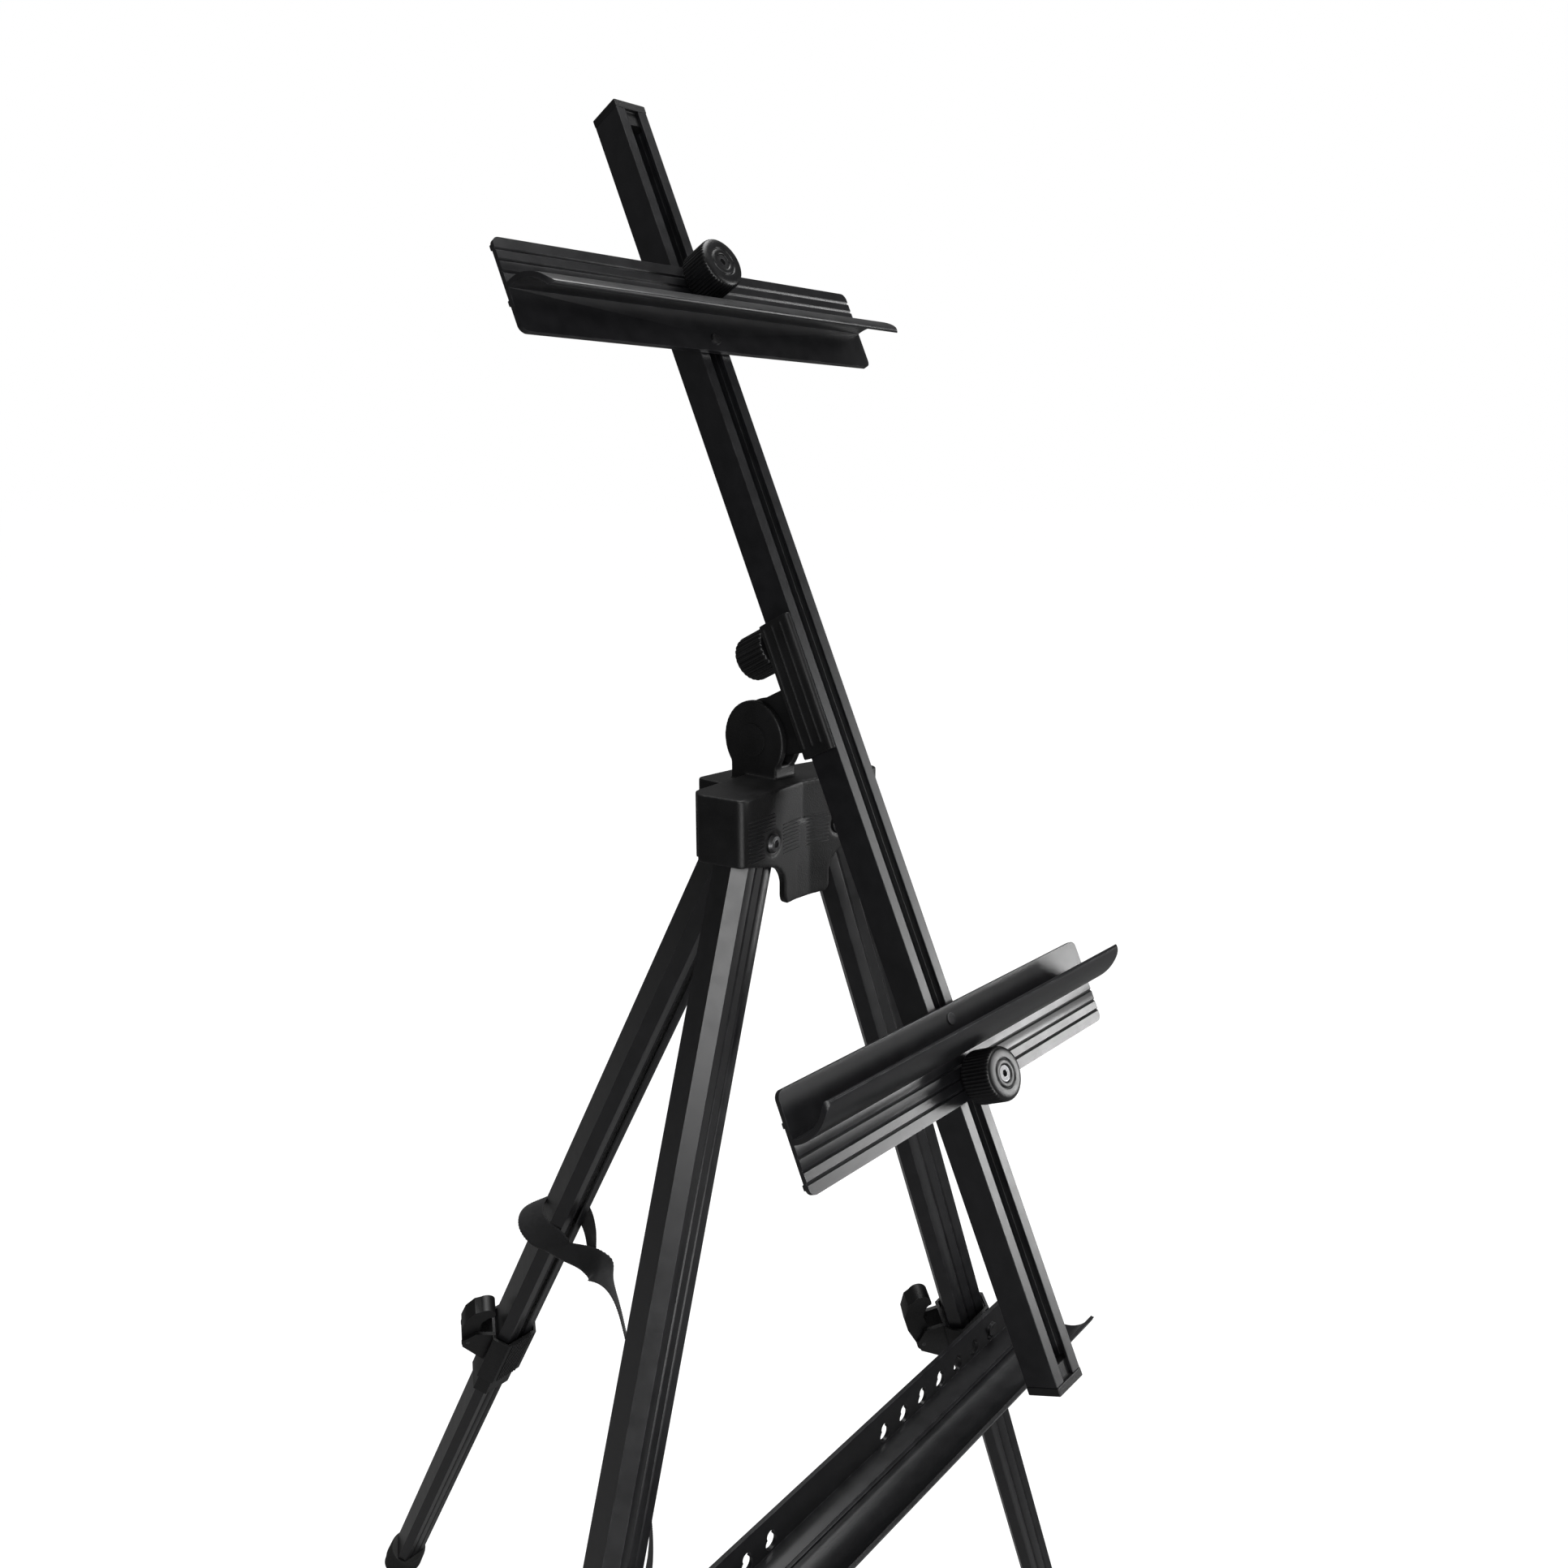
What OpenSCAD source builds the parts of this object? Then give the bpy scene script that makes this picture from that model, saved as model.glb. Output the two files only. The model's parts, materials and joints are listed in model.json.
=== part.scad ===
// Folding aluminium tripod easel with a leaning T-slot mast.
// The frame: +X to the right, +Y to the back, +Z up, floor at Z = 0.
// The origin is on the floor, under the middle of the bounding box.

/* [Mast] */
// Width of the mast extrusion
mast_w = 25; // [24:0.5:26]
// Depth of the mast extrusion
mast_d = 22.2; // [22:0.1:24]
// Length of the mast with both end caps
mast_l = 818; // [760:1:900]
// Lean of the mast from upright, in degrees
mast_lean = 25.6; // [15:0.1:30]
// Width of the slot mouth along the mast
slot_w = 10.5; // [10:0.5:12]

/* [Holders] */
// Length of each canvas holder
holder_l = 296; // [240:1:340]
// Height of each canvas holder plate
holder_h = 55; // [52:1:60]
// Height of the lower holder's bottom edge along the mast
lower_holder_at = 173.5; // [100:0.5:220]
// Height of the upper holder's top edge along the mast
upper_holder_at = 701.7; // [640:0.1:760]
// Radius of the holder knobs
knob_r = 15.8; // [14:0.1:18]

/* [Head] */
// Height of the tilt hinge above the floor
hinge_z = 981; // [940:1:1040]
// Place of the tilt hinge from front to back
hinge_y = -159.2; // [-200:0.1:-100]
// Radius of the two hinge ears
ear_r = 25; // [24:0.5:26]
// Width of the hinge neck
neck_w = 19; // [19:0.5:22]

/* [Legs] */
// Outward splay of the front legs, in degrees
front_splay = 19.3; // [17:0.1:22]
// Turn of the front legs' folding plane towards the front, in degrees
front_turn = 9.1; // [6:0.1:12]
// Backward splay of the rear leg, in degrees
rear_splay = 29.54; // [26:0.01:32]
// Length of a front leg's upper tube below its pivot
front_upper_l = 499; // [440:1:540]
// Length of the rear leg's upper tube below its pivot
rear_upper_l = 637; // [560:1:680]
// Distance from the leg axis to the three wide tube faces
tube_rw = 13.4; // [13:0.1:14]
// Distance from the leg axis to the three narrow tube faces
tube_rn = 17.8; // [17.4:0.1:18.2]

/* [Tray] */
// Length of the brush tray
tray_l = 512; // [480:1:560]
// Spacing of the keyholes; the left stud sits one keyhole further in
keyhole_pitch = 22.9; // [20:0.1:26]
// Slope of the tray along its length, in degrees
tray_tilt = 3.1; // [0:0.1:4]
// Distance of each stud from the middle
stud_x = 186.5; // [186:0.1:187]

/* [Hidden] */

$fn = 48;
e = 0.05;                 // overlap of a cut beyond the face that it opens
gap = 0.05;               // running clearance of a shaft in a hole
big = 2000;               // size of a half space

// Colours
aluminium = [0.13, 0.13, 0.14];
plastic = [0.07, 0.07, 0.075];
steel = [0.5, 0.5, 0.52];
rubber = [0.05, 0.05, 0.05];
webbing = [0.04, 0.04, 0.045];

// Mast section
slot_lip = 2.2;
cavity_w = 19.4;
cavity_d = 6.6;
cap_t = 5;
cap_proud = 0.25;

// Hinge, measured from the mast's bottom front edge: back and up along the mast
hinge_back = 66.9;
hinge_up = 418.8;
lug_t = 8.2;
lug_r = 13.5;
arm_r = 24;
cap_r = 10.3;
cap_h = 0.8;
hinge_bolt_r = 4;

// Clamp
clamp_low = 393;
clamp_high = 479;
clamp_wall = 4;
clamp_back = 26;
sleeve_setback = 5.5;
clamp_screw_at = 467;
clamp_boss_h = 3.5;
clamp_knob_r = 14.5;
clamp_knob_l = 25;
screw_r = 3;

// Holders
plate_t = 3;
plate_stand = 1.2;        // height of the rails behind the plate
rail_gap = 0.15;
plate_front = -plate_t - plate_stand;
ledge_v = 27;             // height of the ledge's underside on the plate
ledge_r = 36.3;
ledge_t = 3;
ledge_sweep = 60;
knob_v = 10.3;
pin_v = 47;
knob_l = 21.7;
knob_neck_r = 10;
knob_neck_l = 3.5;
knob_face = -29.7;

// Head, measured from the tilt hinge
front_pivot = [-35, -18.8, -55.8];
rear_pivot = [0, 15.3, -55.8];
head_below = 9;           // depth of the head below the leg pivots
head_above = 33;          // height of the head above the leg pivots
lobe_front = 20;
lobe_back = 21;
lobe_out = 33;
rear_lobe_w = 47;
rear_lobe_back = 23;
rear_lobe_drop = 5;       // the rear lobe's top below the front lobes' tops
pivot_r = 3;
tube_top = 7;             // rise of the tubes above their pivots
pocket_top = 21;

// Legs
tube_wall = 1.5;
lower_rw = 11.4;
lower_rn = 15.3;
lower_wall = 1.3;
overlap_l = 70;           // lower tube left inside the upper tube
bush_l = 14;
plug_l = 45;
collar_rise = 38;         // collar above the upper tube's end
collar_drop = 22;         // collar below the upper tube's end
collar_taper = 26;
collar_t = 4.2;
foot_l = 34;
foot_r = 19.5;
lever_u = 37;             // lever hinge, outward from the leg axis
lever_drop = 12;          // lever hinge below the collar's top
lever_w = 15;
ear_gap = 0.4;
ear_t = 3;
lever_pin_r = 1.6;
front_len = (hinge_z + front_pivot[2]) / cos(front_splay);
rear_len = (hinge_z + rear_pivot[2]) / cos(rear_splay);

// Tray, measured from the tilt hinge: front to back, and height
flange_y = -71.3;
flange_t = 3;
flange_top = -479.8;
land_z = -507.8;
land_front = -86.3;
trough_y = -97.3;
trough_z = -479.3;
trough_r = 32.5;
tray_t = 2.6;
keyholes = 7;
keyhole_low = -501;
keyhole_high = -495;
stud_r = 2.6;
stud_z = -495.4;

// Strap path beside the rear leg, measured from the tilt hinge: back and down
strap_w = 25;
strap_t = 1.6;
strap_at = 405;
strap_path = [[203, -430], [195, -452], [183, -467], [170, -478], [162, -494], [160, -520],
              [156, -550], [148, -590], [140, -625], [134, -650], [132, -685], [135, -720], [140, -742]];

// ---- places ----

module at_hinge() translate([0, hinge_y, hinge_z]) children();

module at_mast() at_hinge() rotate([-mast_lean, 0, 0]) translate([0, -hinge_back, -hinge_up]) children();

module at_left_leg() at_hinge() translate(front_pivot)
    rotate([0, 0, front_turn]) rotate([0, front_splay, 0]) children();

module at_right_leg() mirror([1, 0, 0]) at_left_leg() children();

// the tray slopes about its right stud
module at_tray() at_hinge() translate([stud_x, 0, stud_z]) rotate([0, -tray_tilt, 0])
    translate([-stud_x, 0, -stud_z]) children();

module at_rear_leg() at_hinge() translate(rear_pivot) rotate([rear_splay, 0, 0]) mirror([1, 0, 0]) children();

// turns a section drawn in Y and Z into a bar along X
module along_x(l) rotate([90, 0, 90]) linear_extrude(height = l, center = true) children();

// a rod along Y from y0 to y1
module rod_y(r, y0, y1) translate([0, y0, 0]) rotate([-90, 0, 0]) cylinder(r = r, h = y1 - y0);

// ---- shared shapes ----

// triangle with cut corners: wide faces at rw, narrow faces at rn
function section_points(rw, rn) = let (t = (rn - rw * cos(60)) / sin(60))
    [for (k = [0:2], s = [-1, 1]) let (a = 270 + 120 * k)
        [rw * cos(a) - s * t * sin(a), rw * sin(a) + s * t * cos(a)]];

module section(rw, rn) polygon(section_points(rw, rn));

module grooved_section(rw, rn) difference() {
    section(rw, rn);
    for (x = [-4.3, 4.3]) translate([x, -rw]) rotate(45) square(1.6, center = true);
}

module bar(top, bottom) translate([0, 0, bottom]) linear_extrude(height = top - bottom) children();

module rounded_bar(x0, x1, h, r) {
    translate([x0 + r, 0]) square([x1 - x0 - 2 * r, h]);
    translate([x0, r]) square([x1 - x0, h - 2 * r]);
    for (x = [x0 + r, x1 - r], y = [r, h - r]) translate([x, y]) circle(r = r);
}

// fluted disc with chamfered rims, standing on Z = 0
module knob_body(r, h, flutes) intersection() {
    linear_extrude(height = h) polygon([for (i = [0:2 * flutes - 1])
        let (q = r - (i % 2) * 0.7, a = 180 * i / flutes) [q * cos(a), q * sin(a)]]);
    rotate_extrude($fn = 96)
        polygon([[0, 0], [r - 1.4, 0], [r + 0.4, 1.8], [r + 0.4, h - 2.6], [r - 2.2, h], [0, h]]);
}

// ---- head ----

module front_lobes() for (s = [0, 1]) mirror([s, 0]) translate([front_pivot[0], front_pivot[1]])
    rotate(front_turn) offset(r = 5) offset(delta = -5) difference() {
        translate([-lobe_out, -lobe_front]) square([lobe_out + 45, lobe_front + lobe_back]);
        translate([-lobe_out, lobe_back]) rotate(45) square(12, center = true);
    }

module rear_lobe() translate([rear_pivot[0], rear_pivot[1]]) offset(r = 6) offset(delta = -6)
    translate([-rear_lobe_w / 2, -35]) square([rear_lobe_w, 35 + rear_lobe_back]);

module front_pocket() polygon([[-lobe_out + 3.5, -14], [14.9, -14], [19.9, -5.4], [19.9, -3.6],
    [8.4, 18.4], [-lobe_out + 3.5, 18.4]]);

module neck() difference() {
    union() {
        rotate([0, 90, 0]) cylinder(r = ear_r, h = neck_w, center = true, $fn = 96);
        translate([-neck_w / 2, -19.3, -28]) cube([neck_w, 38.6, 28]);
    }
    translate([-lug_t / 2 - 0.25, -60, -lug_r - 1.2]) cube([lug_t + 0.5, 120, 60]);
    rotate([0, 90, 0]) cylinder(r = hinge_bolt_r, h = 60, center = true);
}

module apron_plan() {
    for (s = [0, 1]) mirror([s, 0]) translate([front_pivot[0], front_pivot[1]]) rotate(front_turn)
        translate([-27, -lobe_front]) square([62.4, 5.8]);
    translate([-12, -34.4]) square([24, 6]);
}

// tongue seen from the front: its sides run into the head through hollow curves
module apron_front() polygon([[-66, 20], [-66, -7.5], [-36, -14.5], [-29, -16.5], [-24, -19.5],
    [-20.5, -24], [-19, -29], [-19, -39], [-16.5, -43], [20.5, -43], [23, -39], [23, -29],
    [24.5, -24], [28, -19.5], [33, -16.5], [40, -14.5], [66, -7.5], [66, 20]]);

module apron() intersection() {
    translate([0, 0, front_pivot[2] - 43]) linear_extrude(height = 50) apron_plan();
    translate([0, 0, front_pivot[2]]) rotate([90, 0, 0]) linear_extrude(height = 200, center = true)
        apron_front();
}

module tripod_head() color(plastic) at_hinge() difference() {
    union() {
        translate([0, 0, front_pivot[2] - head_below]) {
            linear_extrude(height = head_below + head_above) front_lobes();
            linear_extrude(height = head_below + head_above - rear_lobe_drop) rear_lobe();
        }
        neck();
        apron();
    }
    for (s = [0, 1]) mirror([s, 0, 0]) translate(front_pivot) rotate([0, 0, front_turn]) {
        translate([0, 0, -200]) linear_extrude(height = 200 + pocket_top) front_pocket();
        rod_y(pivot_r, -40, 40);
        rod_y(8.2, -30, -lobe_front + 1);
    }
    translate(rear_pivot) {
        translate([-18.5, -15.5, -200]) cube([37, rear_lobe_back + 13.5, 200 + pocket_top]);
        translate([-18.5, 0, -200]) cube([37, 60, 202]);
        rotate([0, 90, 0]) cylinder(r = pivot_r, h = 80, center = true);
    }
}

module pivot_bolt(y0, y1) {
    rod_y(pivot_r, y0, y1);
    difference() {
        rotate([90, 0, 0]) translate([0, 0, -y0]) rotate_extrude()
            polygon([[0, 0], [6.2, 0], [6.2, 1.2], [4.6, 2.8], [0, 3.2]]);
        rotate([90, 0, 0]) translate([0, 0, -y0 + 1.4]) cylinder(r = 2.6, h = 4, $fn = 6);
    }
}

module leg_pivot_bolts() color(steel) at_hinge() {
    for (s = [0, 1]) mirror([s, 0, 0]) translate(front_pivot) rotate([0, 0, front_turn])
        pivot_bolt(-lobe_front + 1, lobe_back + 3);
    translate(rear_pivot) rotate([0, 0, -90]) pivot_bolt(-rear_lobe_w / 2, rear_lobe_w / 2 + 3);
}

module pivot_nut(y) difference() {
    translate([0, y, 0]) rotate([-90, 0, 0]) cylinder(r = 5.8, h = 4, $fn = 6);
    rod_y(pivot_r, y - 1, y + 9);
}

module leg_pivot_nuts() color(steel) at_hinge() {
    for (s = [0, 1]) mirror([s, 0, 0]) translate(front_pivot) rotate([0, 0, front_turn])
        pivot_nut(lobe_back);
    translate(rear_pivot) rotate([0, 0, -90]) pivot_nut(rear_lobe_w / 2);
}

module hinge_bolt() color(steel) at_hinge() rotate([0, 90, 0])
    cylinder(r = hinge_bolt_r - gap, h = neck_w, center = true);

module hinge_caps() color(plastic) at_hinge() for (s = [-1, 1])
    translate([s * (neck_w + cap_h) / 2, 0, 0]) rotate([0, 90, 0])
        cylinder(r = cap_r, h = cap_h, center = true, $fn = 96);

// ---- clamp ----

module arm_outline() {
    circle(r = lug_r);
    polygon([[clamp_back - hinge_back - e, -22], [clamp_back - hinge_back - e, arm_r * cos(mast_lean)],
        [-arm_r * sin(mast_lean), arm_r * cos(mast_lean)], [0, 0], [-2.8, -lug_r + 0.3]]);
}

// the sleeve's left wall reaches the mast's front face and its right wall stops short of it
module sleeve_plan() difference() {
    offset(r = 3) offset(delta = -3) translate([-mast_w / 2 - clamp_wall, 0])
        square([mast_w + 2 * clamp_wall, clamp_back]);
    translate([-mast_w / 2 - 0.25, -10]) square([mast_w + 0.5, mast_d + 10.3]);
    translate([0, -10]) square([mast_w, 10 + sleeve_setback]);
}

module mast_clamp() color(plastic) at_mast() difference() {
    union() {
        translate([0, 0, clamp_low]) linear_extrude(height = clamp_high - clamp_low) sleeve_plan();
        translate([0, hinge_back, hinge_up]) along_x(lug_t) arm_outline();
        translate([0, 0, clamp_screw_at]) rod_y(9, clamp_back - 1, clamp_back + clamp_boss_h);
        for (s = [-1, 1], k = [1:3]) translate([s * (mast_w / 2 + clamp_wall), 7.3 * k, 0])
            rotate([0, 0, 45]) translate([-0.7, -0.7, clamp_low + 6]) cube([1.4, 1.4, 77]);
    }
    translate([0, 0, clamp_screw_at]) rod_y(screw_r + gap, 10, 60);
    translate([0, hinge_back, hinge_up]) rotate([0, 90, 0]) cylinder(r = hinge_bolt_r, h = 30, center = true);
}

// nut that slides in a mast slot; the slot mouth is at Y = 0 and the cavity behind it
module slide_nut() difference() {
    union() {
        translate([-9.3, slot_lip + 0.3, -10]) cube([18.6, 5.6, 20]);
        translate([-4.9, 0.4, -10]) cube([9.8, 3, 20]);
    }
    rod_y(screw_r + gap, -1, 20);
}

module clamp_slide_nut() color(steel) at_mast()
    translate([0, mast_d, clamp_screw_at]) mirror([0, 1, 0]) slide_nut();

module clamp_knob() color(plastic) at_mast()
    translate([0, clamp_back + clamp_boss_h + 0.5, clamp_screw_at]) rotate([-90, 0, 0]) difference() {
        knob_body(clamp_knob_r, clamp_knob_l, 28);
        translate([0, 0, -1]) cylinder(r = screw_r, h = 19);
    }

module clamp_screw() color(steel) at_mast() translate([0, 0, clamp_screw_at])
    rod_y(screw_r, mast_d - 8.2, clamp_back + clamp_boss_h + 18.5);

// ---- mast ----

module slot_cut() {
    translate([-slot_w / 2, -e]) square([slot_w, slot_lip + 2 * e]);
    translate([-cavity_w / 2, slot_lip]) square([cavity_w, cavity_d]);
}

module mast() color(aluminium) at_mast() translate([0, 0, cap_t]) linear_extrude(height = mast_l - 2 * cap_t)
    difference() {
        translate([-mast_w / 2, 0]) square([mast_w, mast_d]);
        slot_cut();
        translate([0, mast_d]) mirror([0, 1]) slot_cut();
    }

module mast_cap() {
    translate([-mast_w / 2 - cap_proud, -cap_proud, 0])
        cube([mast_w + 2 * cap_proud, mast_d + 2 * cap_proud, cap_t]);
    for (y = [slot_lip, mast_d - slot_lip - cavity_d]) translate([-cavity_w / 2 + 0.1, y + 0.1, cap_t - e])
        cube([cavity_w - 0.2, cavity_d - 0.2, 9]);
}

module mast_bottom_cap() color(plastic) at_mast() mast_cap();

module mast_top_cap() color(plastic) at_mast() translate([0, 0, mast_l]) mirror([0, 0, 1]) mast_cap();

// ---- holders: Y is 0 on the mast's face, Z runs from the knob edge to the plain edge ----

module holder_section() {
    difference() {
        translate([plate_front, 0]) square([plate_t, holder_h]);
        for (v = [7, 13.5, 20.5]) translate([plate_front, v]) rotate(45) square(1.4, center = true);
    }
    for (v = [3.5, 36]) translate([plate_front + plate_t - e, v]) square([plate_stand - rail_gap + e, 3]);
    difference() {
        translate([plate_front - 1, ledge_v + ledge_r]) circle(r = ledge_r, $fn = 144);
        translate([plate_front - 1, ledge_v + ledge_r]) circle(r = ledge_r - ledge_t, $fn = 144);
        translate([plate_front + 0.5, 0]) square(200);
        translate([plate_front - 1, ledge_v + ledge_r]) rotate(-ledge_sweep - 90) translate([-100, 0])
            mirror([0, 1]) square([100, 200]);
        translate([-100, ledge_v + ledge_r * (1 - cos(ledge_sweep))]) square([200, 100]);
    }
    translate([plate_front - 1 - (ledge_r - ledge_t / 2) * sin(ledge_sweep - 2),
        ledge_v + ledge_r - (ledge_r - ledge_t / 2) * cos(ledge_sweep - 2)]) circle(r = ledge_t / 2);
}

module corner_cut(r) difference() {
    translate([-e, -e]) square(r + e);
    translate([r, r]) circle(r = r);
}

module holder() difference() {
    along_x(holder_l) holder_section();
    for (s = [-1, 1]) scale([s, 1, 1]) {
        for (v = [0, holder_h]) translate([-holder_l / 2, 20, v]) scale([1, 1, v > 0 ? -1 : 1])
            rotate([90, 0, 0]) linear_extrude(height = 80) corner_cut(4.5);
        translate([-holder_l / 2, plate_front - 33, 0]) linear_extrude(height = 100) corner_cut(6);
    }
    translate([0, 0, knob_v]) rod_y(screw_r + gap, -20, 20);
    translate([0, 0, pin_v]) rod_y(2.2, -9, 20);
}

module holder_pin() translate([0, 0, pin_v]) {
    rod_y(3.4, plate_front - 0.8, plate_front);
    rod_y(2.2, plate_front - e, 0);
    rod_y(5, -plate_stand, 1.9);
}

module holder_knob() translate([0, knob_face + knob_l, knob_v]) rotate([90, 0, 0]) difference() {
    union() {
        knob_body(knob_r, knob_l, 44);
        translate([0, 0, -knob_neck_l]) cylinder(r = knob_neck_r, h = knob_neck_l + 1);
    }
    translate([0, 0, -20]) cylinder(r = screw_r, h = 60);
    translate([0, 0, knob_l - 4]) cylinder(r = 4.8, h = 10);
    translate([0, 0, knob_l - 0.8]) difference() {
        cylinder(r = 9.1, h = 2);
        translate([0, 0, -1]) cylinder(r = 8.1, h = 4);
    }
}

module knob_screw() translate([0, 0, knob_v]) difference() {
    union() {
        rod_y(screw_r, knob_face + 2, 8.4);
        rod_y(4.6, knob_face + 0.6, knob_face + 4);
    }
    translate([0, knob_face, 0]) rotate([-90, 0, 0]) cylinder(r = 2.3, h = 3, $fn = 6);
}

module at_lower_holder() at_mast() translate([0, 0, lower_holder_at]) children();

module at_upper_holder() at_mast() translate([0, 0, upper_holder_at]) mirror([0, 0, 1]) children();

module lower_holder() color(aluminium) at_lower_holder() holder();

module lower_holder_pin() color(steel) at_lower_holder() holder_pin();

module lower_slide_nut() color(steel) at_lower_holder() translate([0, 0, knob_v]) slide_nut();

module lower_knob() color(plastic) at_lower_holder() holder_knob();

module lower_knob_screw() color(steel) at_lower_holder() knob_screw();

module upper_holder() color(aluminium) at_upper_holder() holder();

module upper_holder_pin() color(steel) at_upper_holder() holder_pin();

module upper_slide_nut() color(steel) at_upper_holder() translate([0, 0, knob_v]) slide_nut();

module upper_knob() color(plastic) at_upper_holder() holder_knob();

module upper_knob_screw() color(steel) at_upper_holder() knob_screw();

// ---- legs: Z = 0 at the pivot and the leg runs down along -Z ----

module upper_leg(l) difference() {
    bar(tube_top, -l) difference() {
        grooved_section(tube_rw, tube_rn);
        section(tube_rw - tube_wall, tube_rn - tube_wall);
    }
    rod_y(pivot_r + gap, -30, 30);
}

module leg_plug() difference() {
    bar(tube_top - 0.5, -plug_l) section(tube_rw - tube_wall, tube_rn - tube_wall);
    rod_y(pivot_r + gap, -30, 30);
}

// places the flip lock on the inner rear face, with X outward from the leg axis
module at_lock(l) translate([0, 0, collar_rise - l]) rotate([0, 0, 30]) children();

module ribs_2d() for (a = [150, 270], k = [-4:4]) rotate(a)
    translate([tube_rw + collar_t - 0.3, k * 2.4 - 0.6]) square([1, 1.2]);

module collar(l) difference() {
    union() {
        bar(collar_rise - l, -l - collar_drop) {
            section(tube_rw + collar_t, tube_rn + collar_t - 0.4);
            ribs_2d();
        }
        bar(-l - collar_drop + e, -l - collar_drop - collar_taper)
            section(lower_rw + 3, lower_rn + 2.6);
        at_lock(l) for (s = [-1, 1]) scale([1, s, 1]) translate([0, lever_w / 2 + ear_gap, 0])
            rotate([90, 0, 0]) mirror([0, 0, 1]) linear_extrude(height = ear_t) {
                translate([lever_u, -lever_drop]) circle(r = 5.5);
                polygon([[tube_rw, 0], [lever_u - 4, 1], [lever_u + 5, -lever_drop + 2],
                    [lever_u + 3.6, -lever_drop - 6], [tube_rw + 3, -40], [tube_rw, -40]]);
            }
    }
    bar(collar_rise - l + 1, -l) section(tube_rw, tube_rn);
    bar(collar_rise - l + 1, collar_rise - l - 7) section(tube_rw + 1.8, tube_rn + 1.8);
    bar(-l + 1, -l - 90) section(lower_rw + 0.35, lower_rn + 0.35);
    at_lock(l) translate([lever_u, 0, -lever_drop]) rotate([90, 0, 0])
        cylinder(r = lever_pin_r, h = 60, center = true);
}

module lever_pin(l) at_lock(l) translate([lever_u, 0, -lever_drop]) rotate([90, 0, 0])
    cylinder(r = lever_pin_r, h = lever_w + 2 * (ear_gap + ear_t), center = true);

module lock_lever(l) at_lock(l) rotate([90, 0, 0]) linear_extrude(height = lever_w, center = true) difference() {
    union() {
        translate([lever_u, -lever_drop]) circle(r = 5.2);
        polygon([[lever_u - 5, -lever_drop - 2], [lever_u + 5, -lever_drop - 1], [lever_u + 9, 4],
            [lever_u + 8.4, 18], [lever_u + 3, 29], [lever_u - 6, 33], [lever_u - 13, 29],
            [lever_u - 14.5, 23], [lever_u - 9, 20], [lever_u - 6, 13], [lever_u - 7, 3]]);
        translate([lever_u - 7.5, 25.5]) circle(r = 8);
    }
    translate([lever_u - 15, 16.5]) circle(r = 6.2);
    translate([lever_u, -lever_drop]) circle(r = lever_pin_r + gap);
}

module lower_leg(l, leg_len) bar(overlap_l - l, 14 - leg_len) difference() {
    grooved_section(lower_rw, lower_rn);
    section(lower_rw - lower_wall, lower_rn - lower_wall);
}

module leg_bush(l) {
    bar(overlap_l - l + bush_l, overlap_l - l) difference() {
        section(tube_rw - tube_wall - 0.3, tube_rn - tube_wall - 0.3);
        circle(r = 6);
    }
    bar(overlap_l - l + e, overlap_l - l - 16) difference() {
        section(lower_rw - lower_wall - 0.05, lower_rn - lower_wall - 0.05);
        circle(r = 6);
    }
}

// the foot's bottom is cut level with the floor
module foot_shape(leg_len) difference() {
    translate([0, 0, -leg_len - 14]) rotate_extrude($fn = 72)
        polygon([[0, 0], [foot_r - 2, 0], [foot_r - 1.5, 14], [foot_r - 0.5, 22], [foot_r - 1, 42],
            [foot_r - 2.5, 46], [0, 46]]);
    bar(0, 14 - leg_len) section(lower_rw, lower_rn);
}

module above_floor() translate([-big / 2, -big / 2, 0]) cube(big);

// collar with the flat-topped boss that a tray stud rests on
module front_collar(l, side) {
    depth = side < 0 ? 21 : 22.4;
    collar(l);
    difference() {
        translate([side < 0 ? -5 : -7, -depth, seat_top(side)]) mirror([0, 0, 1])
            cube([side < 0 ? 18 : 14, depth - 15, 34]);
        bar(0, -l) section(tube_rw + 1, tube_rn + 1);
    }
}

// height on a front leg's axis of the seat under the tray stud
function leg_dir() = [-sin(front_splay) * cos(front_turn), -sin(front_splay) * sin(front_turn),
    -cos(front_splay)];
function stud_drop(side) = side < 0 ? 2 * stud_x * sin(tray_tilt) : 0;
function seat_top(side) = -(([-stud_x, flange_y, stud_z - stud_drop(side)] - front_pivot) * leg_dir())
    - stud_r - (side < 0 ? 1.3 : 0.8);

module left_upper_leg() color(aluminium) at_left_leg() upper_leg(front_upper_l);

module left_leg_plug() color(plastic) at_left_leg() leg_plug();

module left_lock_collar() color(plastic) at_left_leg() front_collar(front_upper_l, -1);

module left_lever_pin() color(steel) at_left_leg() lever_pin(front_upper_l);

module left_lock_lever() color(plastic) at_left_leg() lock_lever(front_upper_l);

module left_lower_leg() color(aluminium) at_left_leg() lower_leg(front_upper_l, front_len);

module left_leg_bush() color(plastic) at_left_leg() leg_bush(front_upper_l);

module left_foot() color(rubber) intersection() {
    at_left_leg() foot_shape(front_len);
    above_floor();
}

module right_upper_leg() color(aluminium) at_right_leg() upper_leg(front_upper_l);

module right_leg_plug() color(plastic) at_right_leg() leg_plug();

module right_lock_collar() color(plastic) at_right_leg() front_collar(front_upper_l, 1);

module right_lever_pin() color(steel) at_right_leg() lever_pin(front_upper_l);

module right_lock_lever() color(plastic) at_right_leg() lock_lever(front_upper_l);

module right_lower_leg() color(aluminium) at_right_leg() lower_leg(front_upper_l, front_len);

module right_leg_bush() color(plastic) at_right_leg() leg_bush(front_upper_l);

module right_foot() color(rubber) intersection() {
    at_right_leg() foot_shape(front_len);
    above_floor();
}

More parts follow.
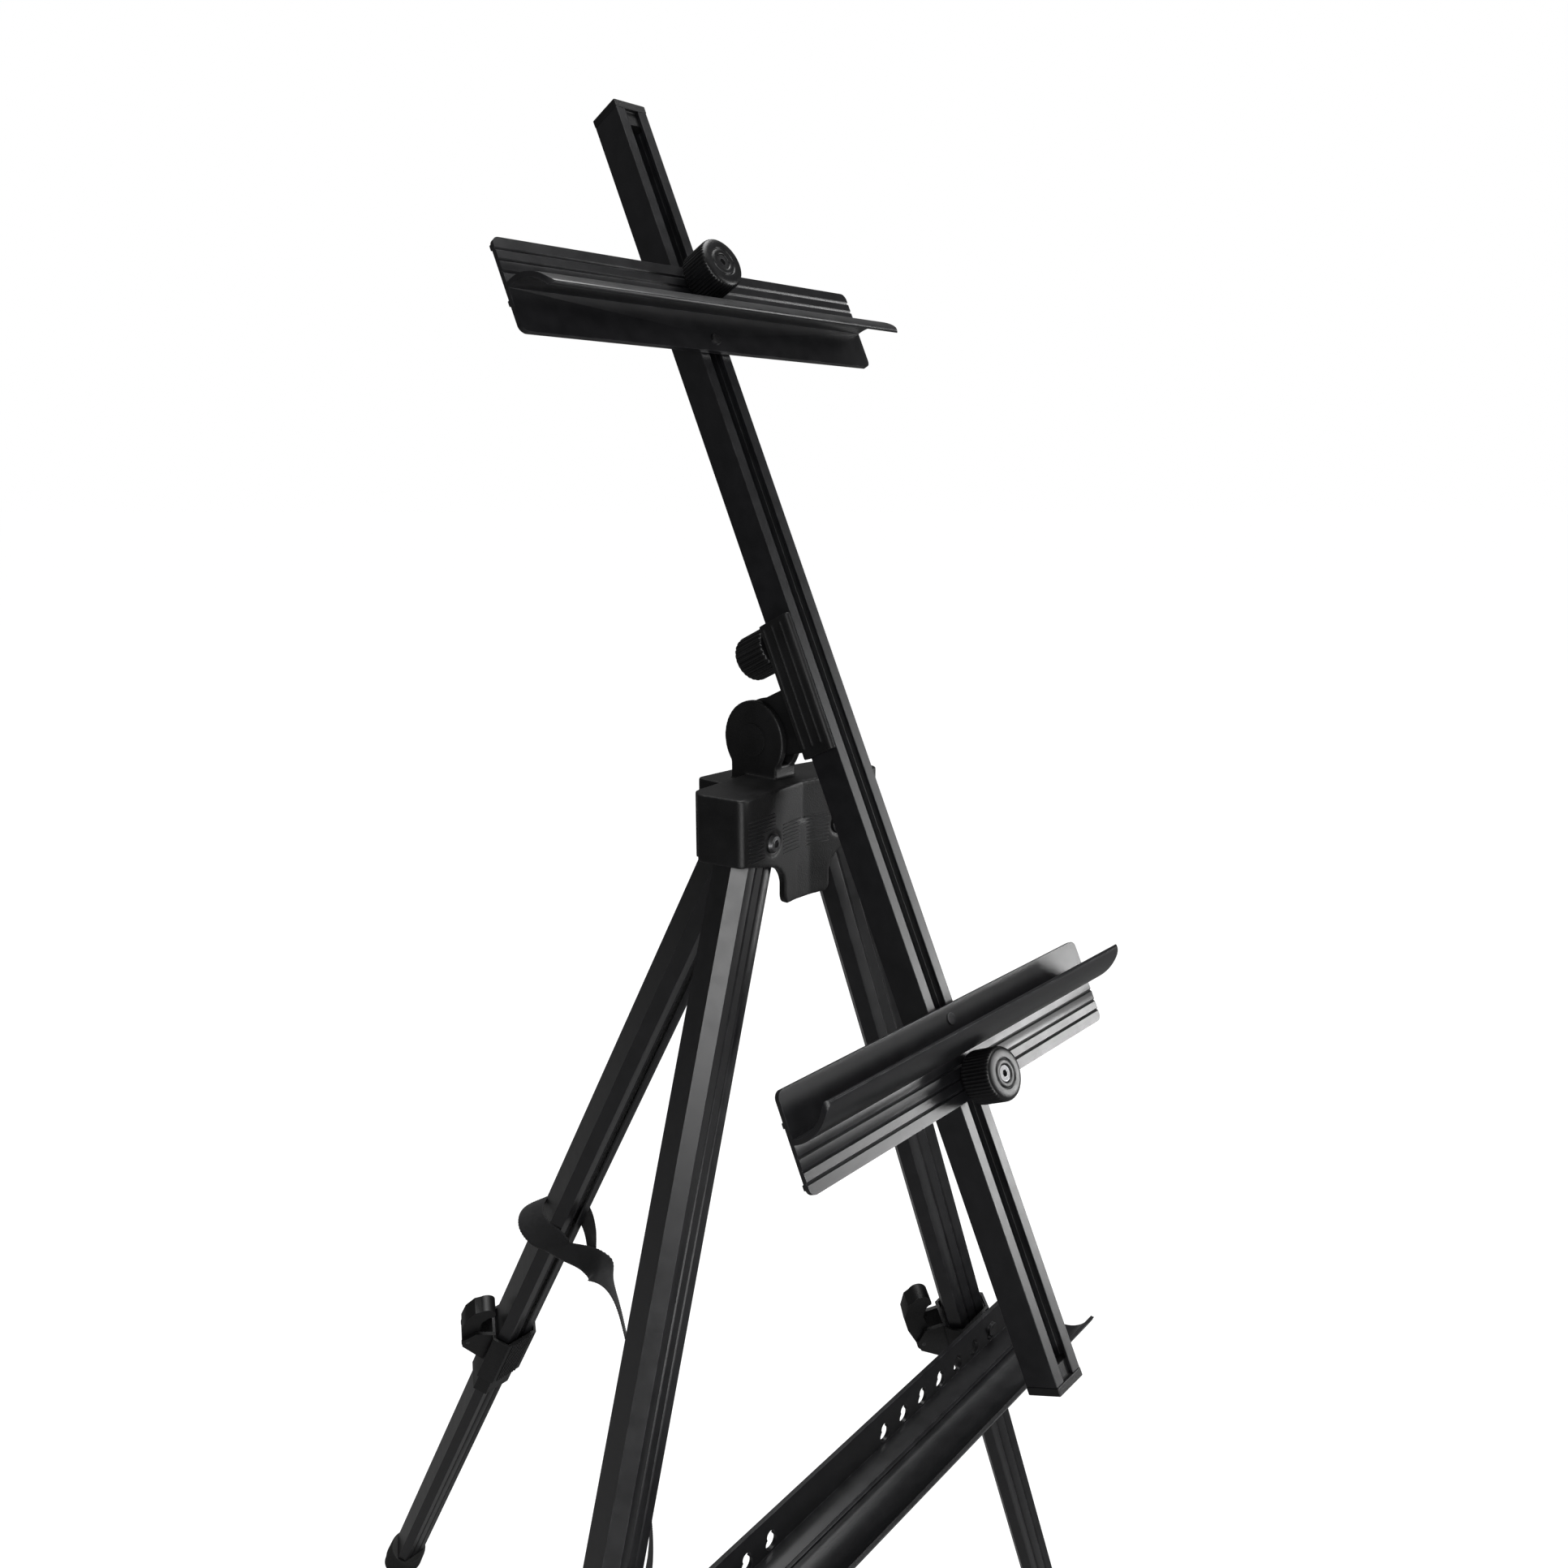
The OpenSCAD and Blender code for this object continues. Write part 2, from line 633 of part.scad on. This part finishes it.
module rear_upper_leg() color(aluminium) at_rear_leg() difference() {
    upper_leg(rear_upper_l);
    rotate([0, 90, 0]) cylinder(r = pivot_r + gap, h = 60, center = true);
}

module rear_leg_plug() color(plastic) at_rear_leg() difference() {
    leg_plug();
    rotate([0, 90, 0]) cylinder(r = pivot_r + gap, h = 60, center = true);
}

module rear_lock_collar() color(plastic) at_rear_leg() collar(rear_upper_l);

module rear_lever_pin() color(steel) at_rear_leg() lever_pin(rear_upper_l);

module rear_lock_lever() color(plastic) at_rear_leg() lock_lever(rear_upper_l);

module rear_lower_leg() color(aluminium) at_rear_leg() lower_leg(rear_upper_l, rear_len);

module rear_leg_bush() color(plastic) at_rear_leg() leg_bush(rear_upper_l);

module rear_foot() color(rubber) intersection() {
    at_rear_leg() foot_shape(rear_len);
    above_floor();
}

// ---- tray ----

module tray_section() {
    translate([flange_y, land_z - flange_t]) square([flange_t, flange_top - land_z + flange_t]);
    translate([land_front, land_z - flange_t]) square([flange_y - land_front + e, flange_t]);
    difference() {
        translate([trough_y, trough_z]) circle(r = trough_r + tray_t, $fn = 144);
        translate([trough_y, trough_z]) circle(r = trough_r, $fn = 144);
        translate([trough_y, trough_z - 12]) translate([-100, 0]) square([200, 100]);
        translate([land_front, trough_z - 60]) square([60, 80]);
    }
    translate([land_front - 2.2, land_z - flange_t - 2]) square([3.4, flange_t + 1.4]);
}

module keyhole() {
    translate([0, 0, keyhole_low]) rod_y(5.2, -10, 10);
    translate([0, 0, keyhole_high]) rod_y(3.7, -10, 10);
    translate([-3, -10, keyhole_low]) cube([6, 20, keyhole_high - keyhole_low]);
}

module tray() color(aluminium) at_tray() difference() {
    translate([-keyhole_pitch / 2, 0, 0]) along_x(tray_l) tray_section();
    for (k = [0:keyholes - 1]) {
        translate([stud_x - k * keyhole_pitch, flange_y, 0]) keyhole();
        translate([-stud_x + (k - 1) * keyhole_pitch, flange_y, 0]) keyhole();
    }
}

module tray_studs() color(steel) at_tray() for (s = [-1, 1]) translate([s * stud_x, flange_y, stud_z]) {
    rod_y(stud_r, -1, 9);
    rod_y(5, -2.6, 0);
    rod_y(5, flange_t, flange_t + 1.2);
}

// ---- strap ----

function strap_side(p, k) = let (a = p[max(k - 1, 0)], b = p[min(k + 1, len(p) - 1)], d = (b - a) / norm(b - a))
    [p[k][0] + d[1] * strap_t, p[k][1] - d[0] * strap_t];

module strap() color(webbing) {
    at_rear_leg() bar(-strap_at + strap_w / 2, -strap_at - strap_w / 2) difference() {
        section(tube_rw + 0.3 + strap_t, tube_rn + 0.3 + strap_t);
        section(tube_rw + 0.3, tube_rn + 0.3);
    }
    at_hinge() along_x(strap_w - 3) polygon(concat(strap_path,
        [for (k = [len(strap_path) - 1:-1:0]) strap_side(strap_path, k)]));
}

tripod_head();
leg_pivot_bolts();
leg_pivot_nuts();
hinge_bolt();
hinge_caps();
mast_clamp();
clamp_slide_nut();
clamp_knob();
clamp_screw();
mast();
mast_top_cap();
mast_bottom_cap();
lower_holder();
lower_holder_pin();
lower_slide_nut();
lower_knob();
lower_knob_screw();
upper_holder();
upper_holder_pin();
upper_slide_nut();
upper_knob();
upper_knob_screw();
left_upper_leg();
left_leg_plug();
left_lock_collar();
left_lever_pin();
left_lock_lever();
left_lower_leg();
left_leg_bush();
left_foot();
right_upper_leg();
right_leg_plug();
right_lock_collar();
right_lever_pin();
right_lock_lever();
right_lower_leg();
right_leg_bush();
right_foot();
rear_upper_leg();
rear_leg_plug();
rear_lock_collar();
rear_lever_pin();
rear_lock_lever();
rear_lower_leg();
rear_leg_bush();
rear_foot();
tray();
tray_studs();
strap();
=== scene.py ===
"""Looks of the folding tripod easel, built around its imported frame.

Units are metres. +X is the easel's right, +Y its back, +Z up, and the floor is Z = 0.
"""
import json
import math

import bmesh
import bpy
from mathutils import Matrix, Vector


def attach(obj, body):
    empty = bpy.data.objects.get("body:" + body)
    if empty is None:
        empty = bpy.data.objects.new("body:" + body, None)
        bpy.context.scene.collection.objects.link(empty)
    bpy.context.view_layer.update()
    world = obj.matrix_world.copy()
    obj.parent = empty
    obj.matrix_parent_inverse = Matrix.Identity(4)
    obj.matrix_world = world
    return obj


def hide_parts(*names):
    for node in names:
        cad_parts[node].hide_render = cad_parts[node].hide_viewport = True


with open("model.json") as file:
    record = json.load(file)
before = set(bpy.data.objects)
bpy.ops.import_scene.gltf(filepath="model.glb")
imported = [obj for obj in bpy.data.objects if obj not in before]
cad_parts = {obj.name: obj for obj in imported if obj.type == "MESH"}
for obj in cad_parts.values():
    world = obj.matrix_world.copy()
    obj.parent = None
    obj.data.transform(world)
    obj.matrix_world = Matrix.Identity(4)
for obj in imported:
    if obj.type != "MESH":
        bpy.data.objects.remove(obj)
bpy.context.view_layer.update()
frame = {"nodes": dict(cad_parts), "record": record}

MM = 0.001
RECORD = frame["record"]
BODY_OF = {n: b for b, nodes in RECORD["behaviour"]["bodies"].items() for n in nodes}
SLOT_OF = {s["node"]: s["material_slot"] for s in RECORD["subparts"]}
JOINT = {j["name"]: j for j in RECORD["behaviour"]["joints"]}


# ---------------------------------------------------------------- places

def joint_place(name):
    """A joint's point on its axis and its direction, from the record."""
    joint = JOINT[name]
    return Vector(joint.get("pos_m", (0, 0, 0))), Vector(joint["axis"]).normalized()


ACROSS = Vector((1, 0, 0))


def axes_matrix(origin, x, y, z):
    """A matrix that puts local X, Y and Z along three directions at a place."""
    m = Matrix((x, y, z)).transposed().to_4x4()
    m.translation = origin
    return m


# ---------------------------------------------------------------- materials

def node_tree(name):
    mat = bpy.data.materials.new(name)
    mat.use_nodes = True
    return mat, mat.node_tree.nodes, mat.node_tree.links


def coordinates(nodes):
    """Object coordinates in metres."""
    return nodes.new("ShaderNodeTexCoord").outputs["Object"]


def noise(nodes, links, vector, scale, detail=3.0, rough=0.55):
    n = nodes.new("ShaderNodeTexNoise")
    n.inputs["Scale"].default_value = scale
    n.inputs["Detail"].default_value = detail
    n.inputs["Roughness"].default_value = rough
    links.new(vector, n.inputs["Vector"])
    return n.outputs["Fac"]


def remap(nodes, links, value, low, high, start=0.0, end=1.0):
    """Maps value from start..end to low..high."""
    r = nodes.new("ShaderNodeMapRange")
    r.inputs["From Min"].default_value = start
    r.inputs["From Max"].default_value = end
    r.inputs["To Min"].default_value = low
    r.inputs["To Max"].default_value = high
    links.new(value, r.inputs["Value"])
    return r.outputs["Result"]


def mix_colour(nodes, links, factor, a, b):
    """Blends from a to b. Each is a colour, or the output of another node."""
    m = nodes.new("ShaderNodeMix")
    m.data_type = "RGBA"
    for name, value in (("A", a), ("B", b)):
        if isinstance(value, bpy.types.NodeSocket):
            links.new(value, m.inputs[name])
        else:
            m.inputs[name].default_value = (*value, 1)
    links.new(factor, m.inputs["Factor"])
    return m.outputs["Result"]


def edge_wear(nodes, links):
    """Near 1 on worn edges, 0 on flats, broken up by noise."""
    rounded_normal = nodes.new("ShaderNodeBevel")
    rounded_normal.samples = 4
    rounded_normal.inputs["Radius"].default_value = 0.0006
    geometry = nodes.new("ShaderNodeNewGeometry")
    alike = nodes.new("ShaderNodeVectorMath")
    alike.operation = "DOT_PRODUCT"
    links.new(rounded_normal.outputs["Normal"], alike.inputs[0])
    links.new(geometry.outputs["Normal"], alike.inputs[1])
    worn = remap(nodes, links, alike.outputs["Value"], 1, 0, 0.86, 0.985)
    patchy = noise(nodes, links, coordinates(nodes), 90, 4)
    gate = remap(nodes, links, patchy, 0, 1, 0.42, 0.66)
    product = nodes.new("ShaderNodeMath")
    product.operation = "MULTIPLY"
    links.new(worn, product.inputs[0])
    links.new(gate, product.inputs[1])
    return product.outputs["Value"]


def surface(name, colour, tint, rough, grain, bump, bump_scale, specular,
            metallic=0.0, wear=None, sheen=0.0):
    """A dark finish with varied colour, roughness, fine bump and worn edges."""
    mat, nodes, links = node_tree(name)
    shader = nodes["Principled BSDF"]
    shader.inputs["Metallic"].default_value = metallic
    shader.inputs["Sheen Weight"].default_value = sheen
    shader.inputs["Specular IOR Level"].default_value = specular
    vector = coordinates(nodes)
    cloud = noise(nodes, links, vector, grain, 5)
    patches = remap(nodes, links, cloud, 0, 1, 0.35, 0.65)
    colour_out = mix_colour(nodes, links, patches, colour, tint)
    if wear:
        colour_out = mix_colour(nodes, links, edge_wear(nodes, links), colour_out, wear)
    links.new(colour_out, shader.inputs["Base Color"])
    fine = noise(nodes, links, vector, bump_scale, 2)
    roughness = remap(nodes, links, cloud, rough[0], rough[1], 0.3, 0.7)
    links.new(roughness, shader.inputs["Roughness"])
    b = nodes.new("ShaderNodeBump")
    b.inputs["Strength"].default_value = bump
    b.inputs["Distance"].default_value = 0.0003
    links.new(fine, b.inputs["Height"])
    links.new(b.outputs["Normal"], shader.inputs["Normal"])
    return mat


MATERIALS = {
    "black_anodised": surface(
        "black_anodised", colour=(0.0050, 0.0050, 0.0058), tint=(0.0075, 0.0075, 0.0085),
        rough=(0.30, 0.35), grain=90, bump=0.10, bump_scale=2600, specular=0.5,
        wear=(0.055, 0.055, 0.06)),
    "moulded_plastic": surface(
        "moulded_plastic", colour=(0.0035, 0.0035, 0.0037), tint=(0.0058, 0.0058, 0.0062),
        rough=(0.38, 0.50), grain=45, bump=0.45, bump_scale=1300, specular=0.32,
        wear=(0.022, 0.022, 0.024)),
    "knob_plastic": surface(
        "knob_plastic", colour=(0.0035, 0.0035, 0.0038), tint=(0.0055, 0.0055, 0.006),
        rough=(0.28, 0.40), grain=80, bump=0.2, bump_scale=1800, specular=0.35,
        wear=(0.02, 0.02, 0.022)),
    "dark_steel": surface(
        "dark_steel", colour=(0.05, 0.05, 0.052), tint=(0.09, 0.09, 0.092),
        rough=(0.26, 0.40), grain=200, bump=0.15, bump_scale=3000, specular=0.5, metallic=0.9,
        wear=(0.35, 0.35, 0.36)),
    "rubber_feet": surface(
        "rubber_feet", colour=(0.006, 0.006, 0.006), tint=(0.010, 0.010, 0.0095),
        rough=(0.62, 0.80), grain=55, bump=0.5, bump_scale=900, specular=0.4,
        wear=(0.02, 0.02, 0.019)),
    "webbing": surface(
        "webbing", colour=(0.004, 0.004, 0.0045), tint=(0.010, 0.010, 0.011),
        rough=(0.60, 0.78), grain=500, bump=0.6, bump_scale=1600, specular=0.3, sheen=0.10),
}


def dress(obj, slot):
    obj.data.materials.clear()
    obj.data.materials.append(MATERIALS[slot])


for node_name, node_obj in frame["nodes"].items():
    dress(node_obj, SLOT_OF[node_name])


# ---------------------------------------------------------------- rounded pieces

def finish_piece(obj, node, *also):
    """Makes obj stand for CAD node, on the node's body and with its finish."""
    dress(obj, SLOT_OF[node])
    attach(obj, BODY_OF[node])
    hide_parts(node, *also)
    return obj


SHARP = math.radians(28)      # edges that turn more than this are bevelled


def clean_copy(node):
    """The node's mesh, welded and with its flat triangles joined."""
    bm = bmesh.new()
    bm.from_mesh(frame["nodes"][node].data)
    bmesh.ops.remove_doubles(bm, verts=bm.verts, dist=2e-6)
    bmesh.ops.dissolve_limit(bm, angle_limit=math.radians(0.6), verts=bm.verts, edges=bm.edges)
    return bm


def link_mesh(name, bm, smooth=True):
    mesh = bpy.data.meshes.new(name)
    bm.normal_update()
    bm.to_mesh(mesh)
    bm.free()
    if smooth:
        for p in mesh.polygons:
            p.use_smooth = True
    obj = bpy.data.objects.new(name, mesh)
    bpy.context.scene.collection.objects.link(obj)
    return obj


def rounded(node, width, segments=2):
    """The node with its sharp edges bevelled."""
    obj = link_mesh(node + "_shape", clean_copy(node))
    obj.data.set_sharp_from_angle(angle=SHARP)
    m = obj.modifiers.new("edges", "BEVEL")
    m.width = width
    m.segments = segments
    m.limit_method = "ANGLE"
    m.angle_limit = SHARP
    m.use_clamp_overlap = True
    m.harden_normals = True
    return finish_piece(obj, node)


def softened(node, voxel, rounds):
    """A moulded body: an even skin over the node with every edge softly rounded."""
    raw = link_mesh(node + "_raw", clean_copy(node))
    skin = raw.modifiers.new("skin", "REMESH")
    skin.mode = "VOXEL"
    skin.voxel_size = voxel
    soft = raw.modifiers.new("soft", "SMOOTH")
    soft.factor = 0.5
    soft.iterations = rounds
    bm = bmesh.new()
    bm.from_mesh(raw.evaluated_get(bpy.context.evaluated_depsgraph_get()).to_mesh())
    bpy.data.objects.remove(raw)
    return bm


LINE_SIDES = 12
GRIP_PITCH = 2.3              # millimetres between the head's grip lines
GRIP_RADIUS = 0.0005
FACE_OUT = 0.02               # from a leg's fold axis out to the head's front face


def raised_line(bm, start, end, out, radius):
    """A fine round rib half sunk in a face, with tapered ends."""
    along = (end - start).normalized()
    side = along.cross(out)
    rows = []
    for place, size in ((start, 0.05),
                        (start + along * radius, 0.8),
                        (start + along * radius * 2.5, 1.0),
                        (end - along * radius * 2.5, 1.0),
                        (end - along * radius, 0.8),
                        (end, 0.05)):
        row = []
        for k in range(LINE_SIDES):
            turn = 2 * math.pi * k / LINE_SIDES
            spoke = side * math.cos(turn) + out * math.sin(turn)
            row.append(bm.verts.new(place + spoke * radius * size))
        rows.append(row)
    for a, b in zip(rows, rows[1:]):
        for k in range(LINE_SIDES):
            j = (k + 1) % LINE_SIDES
            bm.faces.new((a[k], a[j], b[j], b[k]))
    bm.faces.new(rows[0][::-1])
    bm.faces.new(rows[-1])


def head():
    """The moulded head, with fine grip lines across its two front faces."""
    bm = softened("tripod_head", 0.0008, 10)
    pivot, out = joint_place("left_leg_fold")
    up = Vector((0, 0, 1))
    right = up.cross(out)
    for flip in (1, -1):
        def at(u, v):
            place = pivot + out * FACE_OUT + right * (u * MM) + up * (v * MM)
            return Vector((place.x * flip, place.y, place.z))
        face_out = Vector((out.x * flip, out.y, out.z))
        for k in range(12):
            v = 18.4 - GRIP_PITCH * k
            raised_line(bm, at(-27, v), at(2 if v > 9 else -10, v), face_out, GRIP_RADIUS)
        for k in range(9):
            v = 9.2 - GRIP_PITCH * k
            raised_line(bm, at(10, v), at(31, v), face_out, GRIP_RADIUS)
    return finish_piece(link_mesh("tripod_head_shape", bm), "tripod_head")


for side in ("left", "right", "rear"):
    rounded(side + "_lock_collar", 0.0005)
    rounded(side + "_lock_lever", 0.0011, 3)
    rounded(side + "_upper_leg", 0.0002, 1)
    rounded(side + "_lower_leg", 0.0002, 1)
    rounded(side + "_foot", 0.0009, 2)
head()
finish_piece(link_mesh("mast_clamp_shape", softened("mast_clamp", 0.00055, 4)), "mast_clamp")
rounded("mast", 0.0004)
rounded("mast_top_cap", 0.0006)
rounded("mast_bottom_cap", 0.0006)
rounded("lower_holder", 0.0005)
rounded("upper_holder", 0.0005)
rounded("tray", 0.0004)


# ---------------------------------------------------------------- knobs

def lathe(name, profile, place, flutes=0, ring=8):
    """A body of revolution along local Z.

    Each profile point is (radius, height, flute depth), in millimetres.
    """
    count = flutes * ring if flutes else 96
    bm = bmesh.new()
    rings = []
    for radius, height, depth in profile:
        row = []
        for i in range(count):
            turn = 2 * math.pi * i / count
            dip = depth * (0.5 - 0.5 * math.cos(turn * flutes)) ** 2 if flutes else 0
            r = (radius - dip) * MM
            row.append(bm.verts.new((r * math.cos(turn), r * math.sin(turn), height * MM)))
        rings.append(row)
    for low, high in zip(rings, rings[1:] + rings[:1]):
        for i in range(count):
            j = (i + 1) % count
            bm.faces.new((low[i], low[j], high[j], high[i]))
    bmesh.ops.recalc_face_normals(bm, faces=bm.faces)
    obj = link_mesh(name, bm)
    obj.matrix_world = place
    normals = obj.modifiers.new("normals", "WEIGHTED_NORMAL")
    normals.keep_sharp = True
    return obj


HOLDER_KNOB = [
    # neck and back edge
    (3.05, -3.5, 0), (9.6, -3.5, 0), (10, -3.1, 0), (10, -0.2, 0), (10.3, 0, 0), (13.4, 0.1, 0),
    # fluted rim
    (14.6, 0.6, 0.2), (15.4, 1.5, 0.7), (15.75, 2.6, 0.9), (15.8, 4, 0.9), (15.8, 17.6, 0.9),
    (15.75, 18.8, 0.7), (15.5, 19.8, 0.3), (15.0, 20.6, 0), (14.2, 21.2, 0), (13.2, 21.5, 0),
    # face with a round groove, then the bore
    (11.8, 21.68, 0), (9.25, 21.7, 0), (9.05, 21.55, 0), (8.95, 20.95, 0), (8.25, 20.95, 0),
    (8.15, 21.55, 0), (7.95, 21.7, 0), (5.4, 21.7, 0), (4.95, 21.45, 0), (4.8, 21.0, 0),
    (4.8, 17.75, 0), (3.05, 17.7, 0),
]

CLAMP_KNOB = [
    # back edge
    (3.05, 0, 0), (9.6, 0, 0), (12.6, 0.15, 0), (13.6, 0.7, 0.3), (14.2, 1.7, 0.8),
    # fluted rim
    (14.5, 3, 1.2), (14.5, 21.4, 1.2), (14.3, 22.9, 0.9), (13.8, 24.0, 0.4),
    # face with a shallow dish, closed over the screw's end
    (12.9, 24.7, 0), (11.6, 25, 0), (7, 25, 0), (6.4, 24.6, 0), (6.2, 23.8, 0),
    (0.02, 23.7, 0), (0.02, 18.6, 0), (3.05, 18.6, 0),
]


def knob_place(joint):
    """Local Z out along the knob's axis, from the joint's point."""
    place, out = joint_place(joint)
    return axes_matrix(place, ACROSS, out.cross(ACROSS), out)


for level in ("lower", "upper"):
    knob = lathe(level + "_knob_shape", HOLDER_KNOB, knob_place(level + "_knob_turn"), flutes=44)
    finish_piece(knob, level + "_knob")
knob = lathe("clamp_knob_shape", CLAMP_KNOB, knob_place("clamp_knob_turn"), flutes=26)
finish_piece(knob, "clamp_knob")


# ---------------------------------------------------------------- strap

STRAP_W = 0.025
STRAP_T = 0.0016
RIB = 0.0021                  # length of one rib of the weave
WEAVE = 0.0003                # how far the weave stands in and out
ROWS_PER_RIB = 4


def smooth_path(points, step):
    """Even samples along a Catmull-Rom curve through (place, width direction) pairs."""
    fine = []
    for i in range(len(points) - 1):
        quad = [points[max(0, min(len(points) - 1, i + k))] for k in (-1, 0, 1, 2)]
        for k in range(24):
            t = k / 24
            weights = (-0.5 * t + t * t - 0.5 * t ** 3, 1 - 2.5 * t * t + 1.5 * t ** 3,
                       0.5 * t + 2 * t * t - 1.5 * t ** 3, -0.5 * t * t + 0.5 * t ** 3)
            fine.append(tuple(sum((w * q[j] for w, q in zip(weights, quad)), Vector())
                              for j in (0, 1)))
    fine.append(points[-1])
    out, carry = [fine[0]], 0.0
    for (p, w), (q, v) in zip(fine, fine[1:]):
        gap = (q - p).length
        at = step - carry
        while at <= gap:
            out.append((p.lerp(q, at / gap), w.lerp(v, at / gap)))
            at += step
        carry = gap - (at - step)
    return out


def ribbon(name, points, columns=18):
    """A woven strip along a path, ribbed across. Returns it with its length."""
    path = smooth_path(points, RIB / ROWS_PER_RIB)
    bm = bmesh.new()
    rows = []
    for i, (place, width) in enumerate(path):
        ahead = path[min(i + 1, len(path) - 1)][0] - path[max(i - 1, 0)][0]
        ahead.normalize()
        across = (width - ahead * width.dot(ahead)).normalized()
        normal = ahead.cross(across)
        wave = math.cos(2 * math.pi * i / ROWS_PER_RIB)
        half = STRAP_W / 2 + WEAVE * wave
        top, bottom = [], []
        for c in range(columns + 1):
            x = -1 + 2 * c / columns
            edge = math.sqrt(max(0.0, 1 - abs(x) ** 10))
            rib = WEAVE * wave * (1 if c % 2 else -1)
            lift = (STRAP_T / 2 - WEAVE) * (0.35 + 0.65 * edge) + rib
            side = place + across * (x * half)
            top.append(bm.verts.new(side + normal * lift))
            bottom.append(bm.verts.new(side - normal * lift))
        rows.append(top + bottom[::-1])
    for a, b in zip(rows, rows[1:]):
        for k in range(len(a)):
            j = (k + 1) % len(a)
            bm.faces.new((a[k], a[j], b[j], b[k]))
    bm.faces.new(rows[0][::-1])
    bm.faces.new(rows[-1])
    bmesh.ops.recalc_face_normals(bm, faces=bm.faces)
    length = sum((q[0] - p[0]).length for p, q in zip(path, path[1:]))
    return link_mesh(name, bm), length


def strap():
    """The storage strap: once round the folded rear leg, and its tail hanging in front."""
    pivot, _ = joint_place("rear_leg_fold")
    _, up_leg = joint_place("rear_leg_slide")
    front = ACROSS.cross(up_leg)
    if front.y > 0:
        front.negate()

    def beside(down, angle, radius):
        turn = math.radians(angle)
        return pivot - up_leg * down + (front * math.cos(turn) + ACROSS * math.sin(turn)) * radius

    points = [(beside(0.445, 8, 0.040), up_leg)]
    # angle round the leg, radius, distance down the leg, lean towards it
    loop = [(30, 0.030, 0.444, 0), (62, 0.0235, 0.442, 0), (100, 0.0215, 0.441, 0),
            (140, 0.0215, 0.441, 10), (180, 0.0230, 0.441, 25), (215, 0.0250, 0.440, 36),
            (245, 0.0255, 0.439, 40), (275, 0.0242, 0.439, 30), (305, 0.0222, 0.441, 15),
            (335, 0.0265, 0.446, 0)]
    for angle, radius, down, lean in loop:
        place = beside(down, angle, radius)
        inward = (beside(down, angle, 0) - place).normalized()
        tilt = math.radians(lean)
        points.append((place, up_leg * math.cos(tilt) + inward * math.sin(tilt)))
    # the tail's places, and how far each has turned from the leg's line to lie_across
    lie_across = Vector((0.60, 0.80, 0.0))
    hang = [((-0.003, 0.038, 0.521), 0.2), ((-0.002, 0.021, 0.518), 0.6),
            ((0.000, 0.008, 0.503), 0.95), ((0.002, 0.000, 0.478), 1.0),
            ((0.003, -0.008, 0.440), 1.0), ((0.002, -0.015, 0.395), 1.0),
            ((0.001, -0.023, 0.355), 1.0), ((0.000, -0.029, 0.320), 1.0),
            ((0.000, -0.030, 0.290), 1.0), ((0.000, -0.027, 0.262), 1.0),
            ((0.000, -0.023, 0.243), 1.0)]
    for place, turned in hang:
        points.append((Vector(place), up_leg.lerp(lie_across, turned)))
    obj, length = ribbon("strap_webbing", points)
    finish_piece(obj, "strap")


strap()


# ---------------------------------------------------------------- stage, light and camera

def make_floor():
    """A wide pale floor that runs into the white backdrop."""
    bm = bmesh.new()
    bmesh.ops.create_grid(bm, x_segments=4, y_segments=4, size=60)
    floor = link_mesh("floor", bm, smooth=False)
    mat, nodes, links = node_tree("floor_paint")
    paint = nodes["Principled BSDF"]
    paint.inputs["Base Color"].default_value = (0.16, 0.16, 0.16, 1)
    paint.inputs["Roughness"].default_value = 0.9
    path = nodes.new("ShaderNodeLightPath")
    paint.inputs["Emission Color"].default_value = (1, 1, 1, 1)
    glow = remap(nodes, links, path.outputs["Is Camera Ray"], 0.0, 0.98)
    links.new(glow, paint.inputs["Emission Strength"])
    floor.data.materials.append(mat)


def area_light(name, place, aim, size, power):
    light = bpy.data.lights.new(name, "AREA")
    light.shape = "RECTANGLE"
    light.size, light.size_y = size
    light.energy = power
    obj = bpy.data.objects.new(name, light)
    obj.location = place
    obj.rotation_euler = (Vector(aim) - Vector(place)).to_track_quat("-Z", "Y").to_euler()
    bpy.context.scene.collection.objects.link(obj)


def make_world(ambient):
    """A white backdrop that lights the object only softly."""
    world = bpy.data.worlds.new("studio")
    world.use_nodes = True
    nodes, links = world.node_tree.nodes, world.node_tree.links
    background = nodes["Background"]
    background.inputs["Color"].default_value = (1, 1, 1, 1)
    path = nodes.new("ShaderNodeLightPath")
    strength = remap(nodes, links, path.outputs["Is Camera Ray"], ambient, 1.0)
    links.new(strength, background.inputs["Strength"])
    bpy.context.scene.world = world


def make_camera():
    camera = bpy.data.cameras.new("camera")
    camera.lens = 29.41
    camera.sensor_width = 36
    camera.clip_end = 50
    obj = bpy.data.objects.new("camera", camera)
    obj.location = (-0.5859, -0.7049, 1.1392)
    obj.rotation_euler = (math.radians(90 - 13.25), 0, math.radians(-48.0))
    bpy.context.scene.collection.objects.link(obj)
    bpy.context.scene.camera = obj


make_floor()
make_world(0.10)
# name, place, aim, size, power in watts
area_light("right_panel", (2.6, -2.3, 0.95), (0, -0.3, 0.85), (1.0, 0.8), 46)
area_light("mast_panel", (2.1, -2.55, 2.05), (0, -0.15, 1.1), (1.5, 0.7), 20)
area_light("front_left_panel", (-1.35, -1.2, 1.42), (0, -0.2, 1.0), (0.45, 0.9), 14)
area_light("low_panel", (-0.95, -1.75, 0.12), (-0.15, -0.25, 0.75), (1.1, 0.8), 26)
area_light("top_panel", (0.6, 0.2, 4.6), (0.2, 0.2, 0), (3.0, 3.0), 200)
make_camera()
bpy.context.scene.view_settings.view_transform = "Standard"
